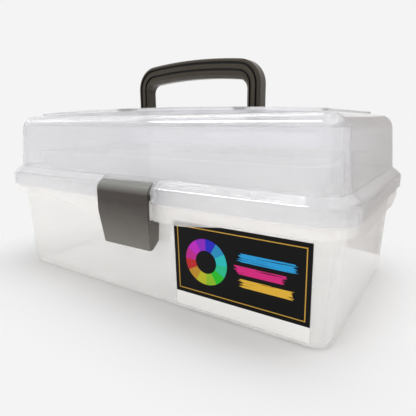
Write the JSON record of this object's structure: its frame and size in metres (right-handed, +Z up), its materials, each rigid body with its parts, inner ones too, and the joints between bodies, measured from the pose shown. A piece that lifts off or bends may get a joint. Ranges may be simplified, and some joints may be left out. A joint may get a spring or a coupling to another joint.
{
  "type": "carry box",
  "caption": "Clear plastic carry box with a hinged lid, folding top handle, front latch and lift-out tray, for keeping art materials together.",
  "frame": {"origin": "centre of the tub's underside, on the surface it stands on", "axes": "+X along the length to the right as seen from the front, +Y to the rear where the hinges are, +Z up"},
  "size_m": [0.326, 0.2114, 0.191],
  "materials": {
    "tub_plastic": "translucent natural polypropylene",
    "lid_plastic": "translucent natural polypropylene",
    "tray_plastic": "translucent natural polypropylene",
    "grey_plastic": "satin moulded",
    "steel": "drawn wire",
    "label_print": "gloss printed sheet"
  },
  "bodies": {
    "base": {"base_tub": "tub_plastic", "hinge_pin_left": "steel", "hinge_pin_right": "steel", "front_label": "label_print"},
    "lid": {"lid": "lid_plastic", "latch_pin": "steel", "handle_pin_left": "steel", "handle_pin_right": "steel"},
    "handle": {"carry_handle": "grey_plastic"},
    "latch": {"latch": "grey_plastic"},
    "tray": {"lift_out_tray": "tray_plastic"}
  },
  "joints": [
    {"name": "lid_hinge", "type": "hinge", "parent": "base", "child": "lid", "pos_m": [0, 0.1044, 0.082], "axis": [-1, 0, 0], "range_deg": [0, 105]},
    {"name": "handle_fold", "type": "hinge", "parent": "lid", "child": "handle", "pos_m": [0, -0.0035, 0.1414], "axis": [-1, 0, 0], "range_deg": [0, 90]},
    {"name": "latch_swing", "type": "hinge", "parent": "lid", "child": "latch", "pos_m": [0, -0.095, 0.0878], "axis": [-1, 0, 0], "range_deg": [0, 110]},
    {"name": "tray_lift", "type": "slide", "parent": "base", "child": "tray", "axis": [0, 0, 1], "range_m": [0, 0.018]}
  ]
}
